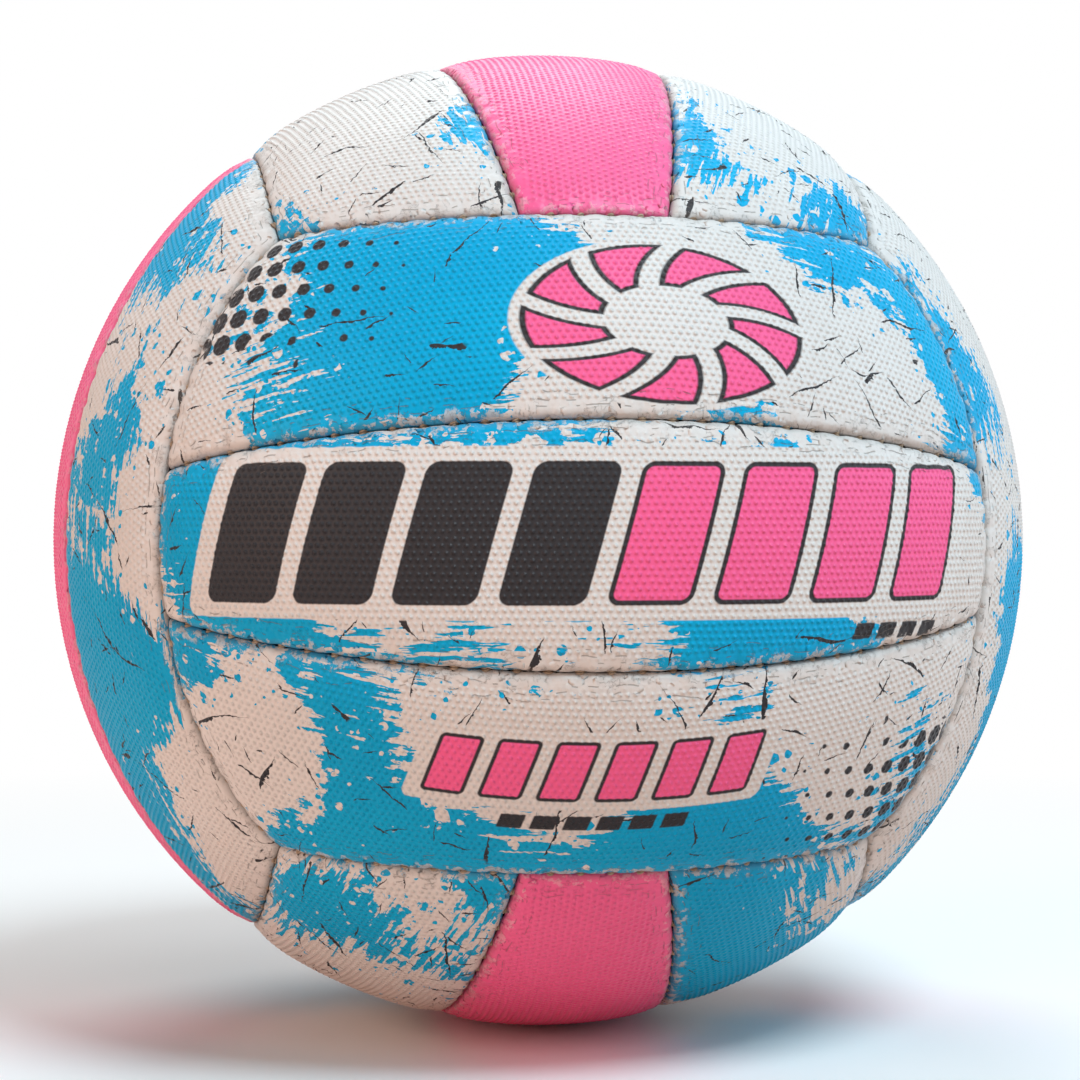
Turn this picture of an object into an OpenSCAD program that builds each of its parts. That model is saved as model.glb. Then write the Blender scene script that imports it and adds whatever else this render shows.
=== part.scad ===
// Stitched netball, size 5: a cover of eighteen pillowed rubber panels, six faces of three strips each,
// every panel over its own cloth lining, laced to its neighbours round a butyl bladder with a needle valve.
// The origin is the ball's centre. The front face looks along -Y, the top face along +Z, the valve along +X.

/* [Ball] */
// Girth of the pumped-up ball, measured over the crowns of the panels
ball_girth = 700; // [620:5:760]

/* [Panel layout] */
// Angle at the ball's centre from the middle of a face to its inner seams, in degrees
inner_seam_angle = 13; // [11:0.5:15]
// Angle at the ball's centre from the middle of a face to its long outer seams, in degrees
outer_seam_angle = 37.3; // [36.6:0.1:38.6]

/* [Rubber panels] */
// Thickness of the pimpled rubber, and of the edge that is turned in at a seam
skin_wall = 1; // [0.8:0.1:1.3]
// Radius of the rounded lip where the rubber turns in
lip_radius = 1.6; // [1.4:0.1:2]
// How far a panel sinks from its crown to its lips
pillow_drop = 1; // [0.6:0.1:1.4]
// Width of the shoulder that falls from the crown to the lips
shoulder_width = 11; // [8:0.5:13]
// Gap between the turned-in edges of two panels
seam_gap = 0.6; // [0.4:0.1:0.8]

/* [Cloth linings] */
// Thickness of the laminated cloth under the crown of a panel
lining_wall = 2.7; // [2.4:0.1:3.4]

/* [Bladder] */
// Thickness of the butyl bladder
bladder_wall = 0.7; // [0.5:0.1:1.2]

/* [Stitching] */
// Diameter of the waxed thread, over its edges
thread_d = 0.7; // [0.5:0.05:0.8]
// Distance from one stitch to the next along a seam
stitch_pitch = 6.1; // [5:0.1:8]

/* [Valve] */
// Diameter of the valve's nose, which shows through the cover
valve_nose_d = 7; // [6.4:0.2:9]
// How far the nose lies below the crown of its panel
valve_recess = 0.5; // [0.3:0.1:1]
// Length of the valve from its nose into the bladder
valve_length = 15; // [13:0.5:18]
// Diameter of the flange that is bonded inside the bladder
valve_flange_d = 24; // [20:1:28]
// Thickness of that flange
valve_flange_wall = 1.2; // [0.8:0.1:2]
// Diameter of the patch between the flange and the bladder
patch_d = 34; // [30:1:40]
// Thickness of the patch
patch_wall = 0.6; // [0.4:0.1:1]
// Diameter of the soft plug inside the valve
plug_d = 4.4; // [4:0.1:4.8]
// Diameter of the plug's retaining bead
bead_d = 5.4; // [5.2:0.1:5.6]
// Height of the retaining bead
bead_height = 1.6; // [1:0.2:2.4]
// Diameter of the passage for the inflating needle
needle_d = 2; // [1.6:0.1:2.2]
// Depth of the needle's passage from the plug's outer face
needle_depth = 9; // [7:0.5:10]

/* [Hidden] */
$fn = 120;
small_fn = 24;
// Sides of the thread's section, which is pressed flat where it is pulled against the rubber
thread_sides = 8;

FACES = ["front", "back", "left", "right", "top", "bottom"];
STRIPS = [
    ["upper", "middle", "lower"],
    ["upper", "middle", "lower"],
    ["rear", "middle", "front"],
    ["rear", "middle", "front"],
    ["right", "middle", "left"],
    ["right", "middle", "left"]
];
back = 1;
left = 2;
right = 3;
top = 4;
bottom = 5;
middle = 1;
last = 2;
function piece_name(face, strip) = str(FACES[face], "_", STRIPS[face][strip]);

// Radii of the layers, from the crown inwards
bond_gap = 0.05;
ball_r = ball_girth / (2 * PI);
cover_depth = skin_wall + bond_gap + lining_wall;
bladder_r = ball_r - cover_depth - bond_gap;
patch_r = bladder_r - bladder_wall - bond_gap;
flange_r = patch_r - patch_wall - bond_gap;

// How far the tools that cut a panel's edge reach out and in
reach_share = 1.3;
core_share = 0.85;
reach = reach_share * ball_r;
core_r = core_share * ball_r;
cut_over = 2 * skin_wall;

// Seams lie on cones about an axis: the long outer ones at outer_lat, with three faces meeting at each
// corner of a cube in the ball, and the inner ones at zero. Turns run along a seam from its middle.
corner_share = sqrt(1 / 3);
outer_tilt = atan((sin(outer_seam_angle) - corner_share) / (cos(outer_seam_angle) - corner_share));
outer_lat = outer_seam_angle - outer_tilt;
corner_turn = asin(corner_share / cos(outer_lat));
strip_lean = tan(inner_seam_angle) * sin(outer_tilt);
strip_turn = atan(strip_lean)
    + asin(tan(inner_seam_angle) * tan(outer_lat) * cos(outer_tilt) / norm([1, strip_lean]));
end_turn = acos(sin(outer_lat) / cos(outer_tilt) / norm([cos(inner_seam_angle), tan(outer_tilt)]))
    - atan(tan(outer_tilt) / cos(inner_seam_angle));
groove_over_turn = 6;

// Lips: the rounded edges on both sides of a seam
half_gap = seam_gap / 2;
lip_bite = half_gap / 2;
lip_side = half_gap - lip_bite + lip_radius;
lip_level = ball_r - pillow_drop - lip_radius + lip_bite;

// Thread: a run along each side of a seam, with a crossing through both turned-in edges at every stitch
thread_r = thread_d / 2;
tight_share = 0.75;
crossing_r = tight_share * thread_r;
stitch_r = lip_level - thread_r - 2 * bond_gap;
hole_side = half_gap + skin_wall + bond_gap;
run_side = hole_side + thread_r;
lining_edge = run_side + thread_r + bond_gap;
seam_clear = lining_edge + thread_d;

// Colours of the pieces
white_rubber = [0.93, 0.92, 0.9];
pink_rubber = [0.98, 0.35, 0.66];
grey_cloth = [0.78, 0.76, 0.7];
black_rubber = [0.07, 0.07, 0.08];
waxed_thread = [0.8, 0.74, 0.62];

// Carries a piece drawn on the front face to its own face
module on_face(face) {
    if (face == 0) children();
    if (face == back) rotate([0, 0, 180]) children();
    if (face == left) rotate(240, [1, 1, 1]) children();
    if (face == right) rotate(240, [1, 1, 1]) rotate([0, 0, 180]) children();
    if (face == top) rotate(120, [1, 1, 1]) rotate([0, 0, 180]) children();
    if (face == bottom) rotate(120, [1, 1, 1]) children();
}

// Turns a seam of the front face into its own frame, with its axis along Z and its middle over X
module seam_frame(seam) {
    if (seam == "upper_outer") rotate([-outer_tilt, 0, 0]) rotate([0, 0, -90]) children();
    if (seam == "upper_inner") rotate([-inner_seam_angle, 0, 0]) rotate([0, 0, -90]) children();
    if (seam == "right_end") rotate([0, 0, -outer_tilt]) rotate([90, 0, 0]) children();
    if (seam == "lower_outer") rotate([0, 180, 0]) seam_frame("upper_outer") children();
    if (seam == "lower_inner") rotate([0, 180, 0]) seam_frame("upper_inner") children();
    if (seam == "left_end") rotate([0, 180, 0]) seam_frame("right_end") children();
}

function is_inner(seam) = seam == "upper_inner" || seam == "lower_inner";
function seam_lat(seam) = is_inner(seam) ? 0 : outer_lat;

// The edge of a panel in a seam's frame: flat across the hollow, then a wall square to the ball's surface
function seam_wall(lat, shift) = let (r = core_r * cos(lat)) [
    [0, r * tan(lat) + shift],
    [r, r * tan(lat) + shift],
    [reach, reach * tan(lat) + shift]
];

module below_seam(seam, edge) {
    lat = seam_lat(seam);
    seam_frame(seam) rotate([0, 0, 180]) rotate_extrude()
        polygon(concat(seam_wall(lat, -edge / cos(lat)), [[reach, -reach], [0, -reach]]));
}

module above_seam(seam, edge) {
    lat = seam_lat(seam);
    seam_frame(seam) rotate([0, 0, 180]) rotate_extrude()
        polygon(concat(seam_wall(lat, edge / cos(lat)), [[reach, 2 * reach], [0, 2 * reach]]));
}

// A shoulder is a patch of a ball whose centre is moved along the seam's axis, so that it sinks to the seam
module shoulder(seam, away, inset) {
    lat = seam_lat(seam);
    start_lat = lat + away * shoulder_width / ball_r * 180 / PI;
    shift = away * pillow_drop / abs(sin(lat) - sin(start_lat));
    shoulder_r = norm([ball_r * cos(start_lat), ball_r * sin(start_lat) - shift]);
    seam_frame(seam) translate([0, 0, shift]) rotate([0, 0, 180]) sphere(r = shoulder_r - inset);
}

// Rounds a panel's edge along one seam
module lipped(seam) {
    half_turn = (is_inner(seam) ? end_turn : corner_turn) + groove_over_turn;
    difference() {
        children();
        seam_frame(seam) rotate([0, 0, -half_turn]) rotate_extrude(angle = 2 * half_turn)
            rotate(seam_lat(seam)) difference() {
                translate([lip_level, -lip_side]) square([ball_r + cut_over - lip_level, 2 * lip_side]);
                for (side = [-1, 1]) translate([lip_level, side * lip_side]) circle(r = lip_radius);
            }
    }
}

module hollowed() {
    difference() {
        children();
        sphere(r = ball_r - cover_depth);
    }
}

// The space of the front face's upper strip, sunk by inset and with its sides at edge from the seams
module side_strip(inset, edge) {
    intersection() {
        sphere(r = ball_r - inset);
        above_seam("right_end", edge);
        above_seam("left_end", edge);
        above_seam("upper_inner", edge);
        below_seam("upper_outer", edge);
        shoulder("upper_inner", 1, inset);
        shoulder("upper_outer", -1, inset);
        shoulder("right_end", 1, inset);
        shoulder("left_end", 1, inset);
    }
}

// The same for the middle strip
module middle_strip(inset, edge) {
    intersection() {
        sphere(r = ball_r - inset);
        above_seam("right_end", edge);
        above_seam("left_end", edge);
        below_seam("upper_inner", edge);
        below_seam("lower_inner", edge);
        shoulder("upper_inner", -1, inset);
        shoulder("lower_inner", -1, inset);
        shoulder("right_end", 1, inset);
        shoulder("left_end", 1, inset);
    }
}

// Stretches of a seam between the crossing seams, as turns from its middle
function turn_for(length, seam) = length / (stitch_r * cos(seam_lat(seam))) * 180 / PI;
function whole_run(seam) = let (end = (is_inner(seam) ? end_turn : corner_turn) - turn_for(seam_clear, seam))
    [-end, end];
function clear_runs(seam) = let (run = whole_run(seam), clear = turn_for(seam_clear, seam))
    is_inner(seam) ? [run] : [
        [run[0], -strip_turn - clear],
        [clear - strip_turn, strip_turn - clear],
        [strip_turn + clear, run[1]]
    ];

// Evenly spaced stitches in each stretch, as turns
function stitches(seam) = let (step = turn_for(stitch_pitch, seam)) [
    for (run = clear_runs(seam))
        let (count = floor((run[1] - run[0] - turn_for(2 * thread_d, seam)) / step))
            for (i = [0:count]) (run[0] + run[1] + (2 * i - count) * step) / 2
];

module at_stitches(seam) {
    seam_frame(seam) for (turn = stitches(seam))
        rotate([0, 0, turn]) rotate([0, -seam_lat(seam), 0]) translate([stitch_r, 0, 0]) children();
}

module holed(seam) {
    difference() {
        children();
        at_stitches(seam) cylinder(r = thread_r, h = 2 * hole_side, center = true, $fn = small_fn);
    }
}

module thread_run(seam, run, side) {
    seam_frame(seam) rotate([0, 0, run[0]]) rotate_extrude(angle = run[1] - run[0])
        rotate(seam_lat(seam)) translate([stitch_r, side * run_side]) circle(r = thread_r, $fn = thread_sides);
}

module laced(seam) {
    thread_run(seam, whole_run(seam), -1);
    for (run = clear_runs(seam)) thread_run(seam, run, 1);
    at_stitches(seam) cylinder(r = crossing_r, h = 2 * run_side, center = true, $fn = small_fn);
}

// The valve's axis runs outwards along -Y through the middle of a face
module valve_hole() {
    rotate([90, 0, 0]) cylinder(r = valve_nose_d / 2 + 2 * bond_gap, h = reach);
}

module side_panel() {
    holed("left_end") holed("right_end") holed("upper_outer") holed("upper_inner") difference() {
        hollowed() lipped("left_end") lipped("right_end") lipped("upper_outer") lipped("upper_inner")
            side_strip(0, half_gap);
        side_strip(skin_wall, half_gap + skin_wall);
    }
}

module middle_panel(has_valve) {
    holed("left_end") holed("right_end") holed("lower_inner") holed("upper_inner") difference() {
        hollowed() lipped("left_end") lipped("right_end") lipped("upper_inner") lipped("lower_inner")
            middle_strip(0, half_gap);
        middle_strip(skin_wall, half_gap + skin_wall);
        if (has_valve) valve_hole();
    }
}

module panel(face, strip) {
    colour = (face >= left && strip == middle) ? pink_rubber : white_rubber;
    color(colour) on_face(face) {
        if (strip == 0) side_panel();
        if (strip == middle) middle_panel(face == right);
        if (strip == last) rotate([0, 180, 0]) side_panel();
    }
}

module lining(face, strip) {
    inset = skin_wall + bond_gap;
    color(grey_cloth) on_face(face) difference() {
        hollowed() {
            if (strip == 0) side_strip(inset, lining_edge);
            if (strip == middle) middle_strip(inset, lining_edge);
            if (strip == last) rotate([0, 180, 0]) side_strip(inset, lining_edge);
        }
        if (face == right && strip == middle) valve_hole();
    }
}

module stitching(face) {
    color(waxed_thread) on_face(face)
        for (seam = ["upper_outer", "upper_inner", "lower_inner", "lower_outer"]) laced(seam);
}

module bladder() {
    color(black_rubber) difference() {
        sphere(r = bladder_r);
        sphere(r = bladder_r - bladder_wall);
        on_face(right) valve_hole();
    }
}

// A round patch of a shell, square to Z
module cap(outer_r, wall, d) {
    intersection() {
        difference() {
            sphere(r = outer_r);
            sphere(r = outer_r - wall);
        }
        cylinder(r = d / 2, h = reach);
    }
}

module on_valve_axis() {
    on_face(right) rotate([90, 0, 0]) children();
}

module valve_patch() {
    color(black_rubber) on_valve_axis() difference() {
        cap(patch_r, patch_wall, patch_d);
        cylinder(r = valve_nose_d / 2 + bond_gap, h = reach);
    }
}

// A round piece on the valve's axis, from one height to another and grown by bond_gap where it is a hole
module valve_round(d, from, to, grow) {
    translate([0, 0, from - grow]) cylinder(r = d / 2 + grow, h = to - from + 2 * grow);
}

nose_top = ball_r - valve_recess;
nose_bottom = nose_top - valve_length;
bead_bottom = nose_top - valve_length / 2 - bead_height / 2;
bead_top = bead_bottom + bead_height;
plug_top = nose_top - bond_gap;

module valve_body() {
    color(black_rubber) on_valve_axis() difference() {
        union() {
            cap(flange_r, valve_flange_wall, valve_flange_d);
            valve_round(valve_nose_d, nose_bottom, nose_top, 0);
        }
        valve_round(plug_d, nose_bottom - cut_over, nose_top + cut_over, bond_gap);
        valve_round(bead_d, bead_bottom, bead_top, bond_gap);
    }
}

module valve_plug() {
    color(black_rubber) on_valve_axis() difference() {
        union() {
            valve_round(plug_d, nose_bottom + bond_gap, plug_top, 0);
            valve_round(bead_d, bead_bottom, bead_top, 0);
        }
        valve_round(needle_d, plug_top - needle_depth, plug_top + cut_over, 0);
    }
}

for (face = [0:bottom]) {
    for (strip = [0:last]) {
        panel(face, strip);
        lining(face, strip);
    }
    stitching(face);
}
bladder();
valve_patch();
valve_body();
valve_plug();
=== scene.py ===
"""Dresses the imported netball: pimpled and printed rubber panels rolled in at their seams, the lacing that
shows between them, the finishes of the valve, linings and bladder, and a pale studio."""

import math

import bpy
import numpy as np
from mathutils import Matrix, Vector


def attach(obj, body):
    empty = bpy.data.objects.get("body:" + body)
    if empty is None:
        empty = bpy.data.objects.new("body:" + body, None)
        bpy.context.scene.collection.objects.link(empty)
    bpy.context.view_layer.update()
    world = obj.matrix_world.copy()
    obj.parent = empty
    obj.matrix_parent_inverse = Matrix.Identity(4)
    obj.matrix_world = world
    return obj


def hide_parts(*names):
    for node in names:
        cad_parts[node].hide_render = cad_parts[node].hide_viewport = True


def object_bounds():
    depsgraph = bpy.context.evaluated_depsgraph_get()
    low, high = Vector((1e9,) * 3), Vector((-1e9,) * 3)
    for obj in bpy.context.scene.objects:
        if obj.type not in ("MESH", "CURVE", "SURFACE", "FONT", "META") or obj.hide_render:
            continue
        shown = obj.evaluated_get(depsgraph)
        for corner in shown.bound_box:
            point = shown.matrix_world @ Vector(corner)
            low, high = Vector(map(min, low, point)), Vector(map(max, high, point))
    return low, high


bl_info = {
    "name": "Netball dressing",
    "version": (1, 0, 0),
    "blender": (4, 5, 0),
    "location": "View3D > Sidebar > Netball",
    "description": "Builds the visible cover, lacing and studio round the packed netball",
    "category": "Object",
}

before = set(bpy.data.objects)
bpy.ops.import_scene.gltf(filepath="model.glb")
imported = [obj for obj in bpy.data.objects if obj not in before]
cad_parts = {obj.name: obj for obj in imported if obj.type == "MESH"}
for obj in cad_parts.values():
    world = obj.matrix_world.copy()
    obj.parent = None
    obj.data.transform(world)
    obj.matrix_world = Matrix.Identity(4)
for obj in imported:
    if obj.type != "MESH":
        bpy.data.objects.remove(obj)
cad_box = [list(corner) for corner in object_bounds()]

# Lengths are in millimetres, of which MM is one in metres, and angles in degrees, as in the solids' source.
MM = 0.001
BALL_R = 1000 * (cad_box[1][2] - cad_box[0][2]) / 2
INNER_ANGLE = 13.0
OUTER_ANGLE = 37.3
CORNER_SHARE = math.sqrt(1 / 3)
OUTER_TILT = math.degrees(math.atan((math.sin(math.radians(OUTER_ANGLE)) - CORNER_SHARE)
                                    / (math.cos(math.radians(OUTER_ANGLE)) - CORNER_SHARE)))
OUTER_LAT = OUTER_ANGLE - OUTER_TILT
STRIPS = {
    "front": ("upper", "middle", "lower"),
    "back": ("upper", "middle", "lower"),
    "left": ("rear", "middle", "front"),
    "right": ("rear", "middle", "front"),
    "top": ("right", "middle", "left"),
    "bottom": ("right", "middle", "left"),
}
LACING_SINK = 2.9
CROSSING_CLEARANCE = 2.8
STITCH_LENGTH = 1.4
VALVE_HOLE_R = 3.6
VALVE_LIP = 1.05
SHEET_HALF_LENGTH = 110
SHEET_HALF_WIDTH = 38
SHEET_TRIM = 1.4
SEAM_GAP = 0.06
PULL_FADE = 2.6
PULL_WIDTH = 1.25
DEEPEST_SINK = 3.2
STRAND_RINGS, STRAND_SIDES = 7, 6
STRAND_REACH = 1.05
STRAND_DIP = 1.3
STRAND_APART = 0.26
FAR = 1e3


# ---------------------------------------------------------------- settings


def length(name, description, default, low, high):
    """A length setting from numbers in millimetres."""
    return bpy.props.FloatProperty(name=name, description=description, default=default * MM, min=low * MM,
                                   max=high * MM, subtype="DISTANCE", unit="LENGTH")


def tint(name, description, red, green, blue):
    """A colour setting."""
    return bpy.props.FloatVectorProperty(name=name, description=description, default=(red, green, blue, 1.0),
                                         min=0.0, max=1.0, size=4, subtype="COLOR")


def angle(name, description, degrees):
    """An angle setting."""
    return bpy.props.FloatProperty(name=name, description=description, default=math.radians(degrees),
                                   subtype="ANGLE", unit="ROTATION")


class NetballCoverSettings(bpy.types.PropertyGroup):
    """Sizes of the rubber panels"""

    pimple_pitch: length("Pimple pitch", "Distance between neighbouring pimples of the rubber", 1.6, 1.2, 4)
    pimple_radius: length("Pimple radius", "Radius of a pimple at its foot", 0.68, 0.2, 0.75)
    pimple_height: length("Pimple height", "Height of a pimple over the rubber round it", 0.22, 0.0, 0.6)
    rubber_wall: length("Rubber thickness", "Thickness of the rubber sheet of a panel", 1.0, 0.6, 1.4)
    inner_lip: length("Inner lip radius", "Radius with which the rubber rolls in at a face's inner seams",
                      1.7, 1.05, 2.2)
    outer_lip: length("Outer lip radius", "Radius with which the rubber rolls in at a face's outer seams",
                      1.1, 1.05, 2.2)
    inner_drop: length("Inner pillow drop", "How far a panel sinks from its crown to a face's inner seams",
                       0.45, 0.0, 2)
    outer_drop: length("Outer pillow drop", "How far a panel sinks from its crown to a face's outer seams",
                       1.0, 0.0, 2)
    pillow_width: length("Pillow width", "Distance from a seam over which the panel sinks", 10, 6, 20)
    pucker: length("Pucker", "How far each stitch pulls the lips down and apart", 0.26, 0.0, 0.6)


class NetballLacingSettings(bpy.types.PropertyGroup):
    """Sizes of the lacing"""

    stitch_pitch: length("Stitch pitch", "Distance from one stitch to the next along a seam", 6.1, 4, 9)
    strand_radius: length("Strand radius", "Radius of one strand of the waxed thread", 0.28, 0.2, 0.5)
    stitch_depth: length("Stitch depth", "How far the middle of a stitch lies below the crown", 1.95, 1.2, 3)


class NetballColourSettings(bpy.types.PropertyGroup):
    """Colours of the rubber, the inks and the thread"""

    ground: tint("Ground", "Colour of the unprinted rubber", 0.74, 0.733, 0.726)
    splash: tint("Splash ink", "Colour of the splashed ink", 0.0, 0.395, 0.73)
    charcoal: tint("Charcoal ink", "Colour of the dark ink", 0.036, 0.034, 0.038)
    pink: tint("Pink", "Colour of the pink rubber and ink", 0.95, 0.135, 0.345)
    thread: tint("Thread", "Colour of the waxed thread", 0.42, 0.33, 0.24)


class NetballStageSettings(bpy.types.PropertyGroup):
    """Place of the camera and level of the light"""

    camera_turn: angle("Camera turn", "Turn of the camera round the ball from the front", -7.7)
    camera_height: angle("Camera elevation", "Elevation of the camera over the ball's centre", 0.6)
    camera_distance: length("Camera distance", "Distance from the camera to the ball's centre",
                            624, 300, 3000)
    lens: bpy.props.FloatProperty(
        name="Lens", description="Focal length on a 36 mm frame, in millimetres", default=88.9, min=20,
        max=300)
    light: bpy.props.FloatProperty(
        name="Light", description="Share of the studio's usual light", default=1.0, min=0.1, max=3.0,
        subtype="FACTOR")


# ---------------------------------------------------------------- shape of the cover


def turned(points, axis, degrees):
    """Points turned about an axis through the centre by the right-hand rule: the part along the axis stays,
    and the part across it turns."""
    axis = np.asarray(axis, float) / np.linalg.norm(axis)
    turn = math.radians(degrees)
    along = np.outer(points @ axis, axis)
    return along + (points - along) * math.cos(turn) + np.cross(axis, points) * math.sin(turn)


def face_turn(face, last_strip=False):
    """The matrix that carries row vectors of the front face's upper strip to a face and, when asked, to its
    last strip, which is the first one turned half round about the face's own axis."""
    rows = np.eye(3)
    if last_strip:
        rows = turned(rows, (0, 1, 0), 180)
    if face in ("back", "right", "top"):
        rows = turned(rows, (0, 0, 1), 180)
    if face in ("top", "bottom"):
        rows = turned(rows, (1, 1, 1), 120)
    if face in ("left", "right"):
        rows = turned(rows, (1, 1, 1), 240)
    return rows


class Seam:
    """A seam of the front face: a circle of the ball at one latitude about an axis. keep is 1 where the
    panel lies above it and -1 where it lies below. Its stitches are turns about the axis from the seam's
    middle."""

    def __init__(self, axis, middle, lat, keep, stitches, lip, drop):
        self.axis = np.asarray(axis, float)
        self.middle = np.asarray(middle, float)
        self.side = np.cross(self.axis, self.middle)
        self.lat = math.radians(lat)
        self.keep = keep
        self.stitches = np.asarray(stitches, float)
        self.lip = lip
        self.drop = drop

    def read(self, p):
        """Distance of unit vectors p from the seam, counted into the panel, the direction in which it
        grows, and the length along the seam, all on the ball in millimetres."""
        height = np.clip(p @ self.axis, -1, 1)
        lat = np.arcsin(height)
        distance = BALL_R * (lat - self.lat) * self.keep
        away = (self.axis - height[:, None] * p) * (self.keep / np.maximum(np.cos(lat), 1e-6))[:, None]
        turn = np.arctan2(p @ self.side, p @ self.middle)
        return distance, away, turn * BALL_R * math.cos(self.lat)

    def to_stitch(self, run):
        """Distance along the seam to the nearest stitch."""
        if not len(self.stitches):
            return np.full(len(run), FAR)
        places = np.sort(self.stitches) * BALL_R * math.cos(self.lat)
        after = np.clip(np.searchsorted(places, run), 1, len(places) - 1)
        return np.minimum(np.abs(run - places[after - 1]), np.abs(run - places[after]))


def stitch_turns(inner, pitch):
    """Turns of the stitches along a seam, as in the solids: evenly spaced in the clear stretches between
    crossing seams."""
    lat = 0.0 if inner else math.radians(OUTER_LAT)
    seam_r = (BALL_R - LACING_SINK) * math.cos(lat)
    tilt, lean = math.radians(OUTER_TILT), math.radians(INNER_ANGLE)
    clear = CROSSING_CLEARANCE / seam_r
    step = pitch / seam_r
    if inner:
        end = (math.acos(math.sin(math.radians(OUTER_LAT)) / math.cos(tilt)
                         / math.hypot(math.cos(lean), math.tan(tilt)))
               - math.atan(math.tan(tilt) / math.cos(lean)))
        runs = [(clear - end, end - clear)]
    else:
        end = math.asin(CORNER_SHARE / math.cos(lat))
        slope = math.tan(lean) * math.sin(tilt)
        cross = (math.atan(slope)
                 + math.asin(math.tan(lean) * math.tan(lat) * math.cos(tilt) / math.hypot(1, slope)))
        runs = [(clear - end, -cross - clear), (clear - cross, cross - clear), (cross + clear, end - clear)]
    turns = []
    for low, high in runs:
        count = math.floor((high - low - STITCH_LENGTH / seam_r) / step)
        turns += [(low + high + (2 * k - count) * step) / 2 for k in range(count + 1)]
    return turns


def front_seams(cover, lacing):
    """The six seams of the front face by name."""
    pitch = lacing.stitch_pitch / MM
    inner_edge = cover.inner_lip / MM, cover.inner_drop / MM
    outer_edge = cover.outer_lip / MM, cover.outer_drop / MM
    tilt, lean = math.radians(OUTER_TILT), math.radians(INNER_ANGLE)
    flip = np.array([-1, 1, -1])
    outer_axis = np.array([0, math.sin(tilt), math.cos(tilt)])
    outer_middle = np.array([0, -math.cos(tilt), math.sin(tilt)])
    inner_axis = np.array([0, math.sin(lean), math.cos(lean)])
    inner_middle = np.array([0, -math.cos(lean), math.sin(lean)])
    end_axis = np.array([-math.sin(tilt), -math.cos(tilt), 0])
    end_middle = np.array([math.cos(tilt), -math.sin(tilt), 0])
    outer, inner = stitch_turns(False, pitch), stitch_turns(True, pitch)
    return {
        "upper_outer": Seam(outer_axis, outer_middle, OUTER_LAT, -1, outer, *outer_edge),
        "upper_inner": Seam(inner_axis, inner_middle, 0, 1, inner, *inner_edge),
        "under_upper_inner": Seam(inner_axis, inner_middle, 0, -1, inner, *inner_edge),
        "over_lower_inner": Seam(inner_axis * flip, inner_middle * flip, 0, -1, inner, *inner_edge),
        "right_end": Seam(end_axis, end_middle, OUTER_LAT, 1, outer, *outer_edge),
        "left_end": Seam(end_axis * flip, end_middle * flip, OUTER_LAT, 1, outer, *outer_edge),
    }


def valve_seam():
    """The rim of the hole in the middle of the front-like face, through which the valve's nose shows."""
    return Seam((0, -1, 0), (1, 0, 0), 90 - math.degrees(VALVE_HOLE_R / BALL_R), -1, [], VALVE_LIP, 0.0)


def on_ball(place, tilt):
    """Unit vectors of places on a strip, in millimetres along and across the great circle in its middle,
    which is tilted up by tilt degrees."""
    along, across = place[:, 0] / BALL_R, place[:, 1] / BALL_R
    p = np.stack([np.sin(along) * np.cos(across), -np.cos(along) * np.cos(across), np.sin(across)], 1)
    return turned(p, (1, 0, 0), -tilt)


def hexagon_sheet(pitch, foot, tilt, seams):
    """A sheet of hexagon cells, one for each pimple: the cell's middle, a ring of six points round it and
    six corners shared with its neighbours. Cells are kept where their middle lies inside every seam's
    trimmed edge. A second layer of corners closes the sheet behind. foot is the radius of the rings."""
    half_cols, half_rows = int(SHEET_HALF_LENGTH / pitch) + 20, int(SHEET_HALF_WIDTH / pitch) + 4
    col, row = np.meshgrid(np.arange(-half_cols, half_cols + 1), np.arange(-half_rows, half_rows + 1),
                           indexing="ij")
    middle = np.stack([pitch * (col + row / 2), pitch * math.sqrt(0.75) * row], -1)
    inside = np.abs(middle[..., 0]) < SHEET_HALF_LENGTH + 2
    p = on_ball(middle.reshape(-1, 2), tilt)
    for seam in seams:
        inside &= (seam.read(p)[0] > -SHEET_TRIM).reshape(inside.shape)
    i, j = np.nonzero(inside)
    rows = inside.shape[1]
    cells = inside.size

    def tops(a, b):
        return a * rows + b

    def feet(a, b):
        return cells + a * rows + b

    corners = np.stack([feet(i, j + 1), tops(i, j), feet(i - 1, j + 1), tops(i, j - 1), feet(i, j),
                        tops(i + 1, j - 1)], 1)
    used, corners = np.unique(corners, return_inverse=True)
    corners = corners.reshape(-1, 6)
    flat = middle.reshape(-1, 2)
    rise = np.where(used < cells, 1, -1) * pitch / math.sqrt(3)
    corner_place = flat[used % cells] + np.stack([np.zeros(len(used)), rise], 1)
    cell_place = flat[i * rows + j]
    count, others = len(cell_place), len(used)
    angle = np.radians(30 + 60 * np.arange(6))
    ring = np.stack([np.cos(angle), np.sin(angle)], 1)
    centre = np.arange(count)
    ring_id = count + 6 * centre[:, None] + np.arange(6)
    corner_id = 7 * count + corners
    after = np.roll(ring_id, -1, 1)
    corner_after = np.roll(corner_id, -1, 1)
    faces = [np.stack([np.repeat(centre, 6), ring_id.ravel(), after.ravel()], 1),
             np.stack([ring_id.ravel(), corner_id.ravel(), corner_after.ravel()], 1),
             np.stack([ring_id.ravel(), corner_after.ravel(), after.ravel()], 1)]
    behind = corner_id + others
    for k in range(1, 5):
        faces.append(np.stack([behind[:, 0], behind[:, k + 1], behind[:, k]], 1))
    for k, (di, dj) in enumerate(((0, 1), (-1, 1), (-1, 0), (0, -1), (1, -1), (1, 0))):
        edge = ~inside[i + di, j + dj]
        a, b = corner_id[edge, k], corner_after[edge, k]
        faces.append(np.stack([b, a, a + others], 1))
        faces.append(np.stack([b, a + others, b + others], 1))
    return {"cells": cell_place, "ring": ring, "foot": foot, "corners": corner_place,
            "faces": np.concatenate(faces), "tilt": tilt, "seams": seams}


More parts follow.
